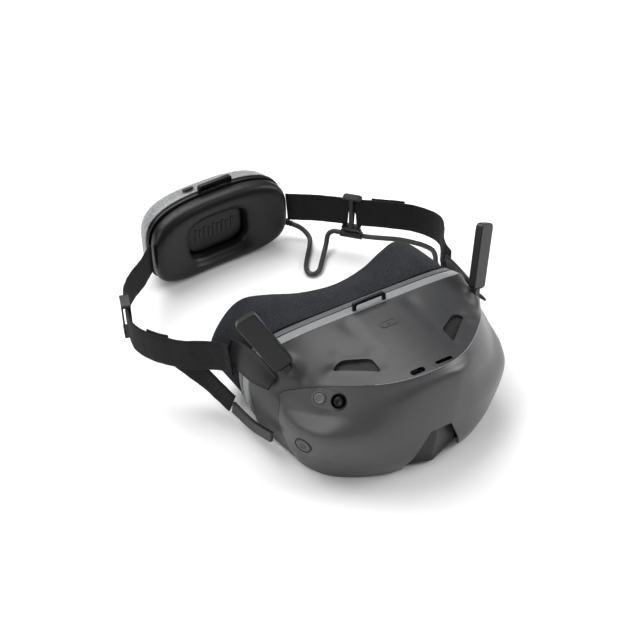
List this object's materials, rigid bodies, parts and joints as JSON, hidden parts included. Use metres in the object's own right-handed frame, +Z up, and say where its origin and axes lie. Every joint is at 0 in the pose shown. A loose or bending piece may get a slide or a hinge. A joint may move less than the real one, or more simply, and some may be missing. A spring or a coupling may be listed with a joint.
{
  "type": "fpv goggles",
  "caption": "Head-worn video goggles for flying a drone: rounded visor with face foam, folding antennas, head straps, clipped cable and rear battery pack.",
  "frame": {"origin": "the middle of the bottom of the box round the whole object, on the surface it stands on", "axes": "+Z is up, the visor looks along -Y, and the head straps and battery pack are behind it towards +Y"},
  "size_m": [0.2514, 0.3034, 0.1153],
  "materials": {
    "aluminium": "bare machined aluminium",
    "arm_rubber": "matte flexible thermoplastic",
    "black_plastic": "matte black moulded plastic",
    "cell_wrap": "shrink-wrapped cell",
    "circuit_board": "green solder mask",
    "dark_plastic": "matte dark moulded plastic",
    "display": "dark glossy display",
    "knit_foam": "knitted face foam cover",
    "light_trim": "satin light grey moulded plastic",
    "moulded_grey": "matte fine-textured moulded plastic",
    "optical": "clear coated lens",
    "satin_pad": "satin black leather-like skin over soft foam",
    "speckled_silver": "speckled silver-grey moulded plastic",
    "steel": "plain steel",
    "webbing": "woven elastic webbing"
  },
  "bodies": {
    "root": {"antenna_pin_left": "steel", "antenna_pin_right": "steel", "antenna_stand_left": "dark_plastic", "antenna_stand_right": "dark_plastic", "battery_board": "circuit_board", "battery_cable": "black_plastic", "battery_cell_lower": "cell_wrap", "battery_cell_upper": "cell_wrap", "battery_frame": "black_plastic", "battery_inner_panel": "black_plastic", "battery_pad": "satin_pad", "battery_shell": "speckled_silver", "battery_strap_loop": "black_plastic", "bottom_cover": "dark_plastic", "button_bezel": "light_trim", "cable_gland_battery": "black_plastic", "cable_gland_visor": "black_plastic", "card_reader": "black_plastic", "display_bracket": "dark_plastic", "display_panel": "display", "face_foam": "knit_foam", "face_plate": "dark_plastic", "fan_housing": "black_plastic", "front_shell": "moulded_grey", "heat_sink": "aluminium", "lens_barrel_left": "dark_plastic", "lens_barrel_right": "dark_plastic", "lens_left": "optical", "lens_right": "optical", "lower_clip_left": "arm_rubber", "lower_clip_right": "arm_rubber", "main_board": "circuit_board", "nose_panel": "dark_plastic", "rear_trim": "light_trim", "screw_left": "steel", "screw_right": "steel", "strap_left": "webbing", "strap_left_lower": "webbing", "strap_left_tail": "webbing", "strap_right": "webbing", "strap_right_lower": "webbing", "strap_right_tail": "webbing", "top_housing": "moulded_grey", "top_strap_loop": "black_plastic", "upper_arm_left": "arm_rubber", "upper_arm_right": "arm_rubber", "usb_port": "steel", "vent_mesh_left": "black_plastic", "vent_mesh_right": "black_plastic"},
    "antenna_left_blade": {"antenna_left": "dark_plastic"},
    "antenna_right_blade": {"antenna_right": "dark_plastic"},
    "shortcut_key": {"shortcut_button": "dark_plastic"},
    "joystick_gimbal": {"joystick_ring": "black_plastic"},
    "joystick": {"joystick_cap": "dark_plastic"},
    "power_key": {"power_button": "dark_plastic"},
    "battery_key": {"battery_button": "dark_plastic"},
    "fan": {"fan_rotor": "black_plastic"},
    "strap_slider_left": {"slider_left": "dark_plastic"},
    "strap_slider_right": {"slider_right": "dark_plastic", "cable_clip": "dark_plastic"}
  },
  "joints": [
    {"name": "antenna_left_fold", "type": "hinge", "parent": "root", "child": "antenna_left_blade", "pos_m": [-0.07104, -0.0798, 0.07906], "axis": [0.8389, -0.1816, 0.5131], "range_deg": [-62, 0]},
    {"name": "antenna_right_fold", "type": "hinge", "parent": "root", "child": "antenna_right_blade", "pos_m": [0.08357, -0.07976, 0.07929], "axis": [0.8697, 0.2372, -0.4329], "range_deg": [-62, 0]},
    {"name": "shortcut_press", "type": "slide", "parent": "root", "child": "shortcut_key", "axis": [0.5499, 0.6198, -0.5599], "range_m": [0, 0.0009], "stiffness_N_per_m": 400},
    {"name": "joystick_tilt_x", "type": "hinge", "parent": "root", "child": "joystick_gimbal", "pos_m": [-0.04647, -0.11378, 0.05937], "axis": [-0.3975, -0.3953, -0.8281], "range_deg": [-7, 7], "stiffness_Nm_per_rad": 0.02},
    {"name": "joystick_tilt_y", "type": "hinge", "parent": "joystick_gimbal", "child": "joystick", "pos_m": [-0.04647, -0.11378, 0.05937], "axis": [0.7346, -0.6779, -0.029], "range_deg": [-7, 7], "stiffness_Nm_per_rad": 0.02},
    {"name": "power_press", "type": "slide", "parent": "root", "child": "power_key", "axis": [0.8818, 0.4609, 0.1002], "range_m": [0, 0.0008], "stiffness_N_per_m": 400},
    {"name": "battery_press", "type": "slide", "parent": "root", "child": "battery_key", "axis": [0.0171, -0.2795, -0.96], "range_m": [0, 0.0006], "stiffness_N_per_m": 400},
    {"name": "fan_spin", "type": "hinge", "parent": "root", "child": "fan", "pos_m": [0.00656, -0.13313, 0.0535], "axis": [0, 1, 0], "continuous": true},
    {"name": "slider_left_slide", "type": "slide", "parent": "root", "child": "strap_slider_left", "axis": [-0.2947, -0.9556, 0], "range_m": [-0.004, 0.005]},
    {"name": "slider_right_slide", "type": "slide", "parent": "root", "child": "strap_slider_right", "axis": [0.6829, -0.7305, 0], "range_m": [-0.003, 0.002]}
  ]
}
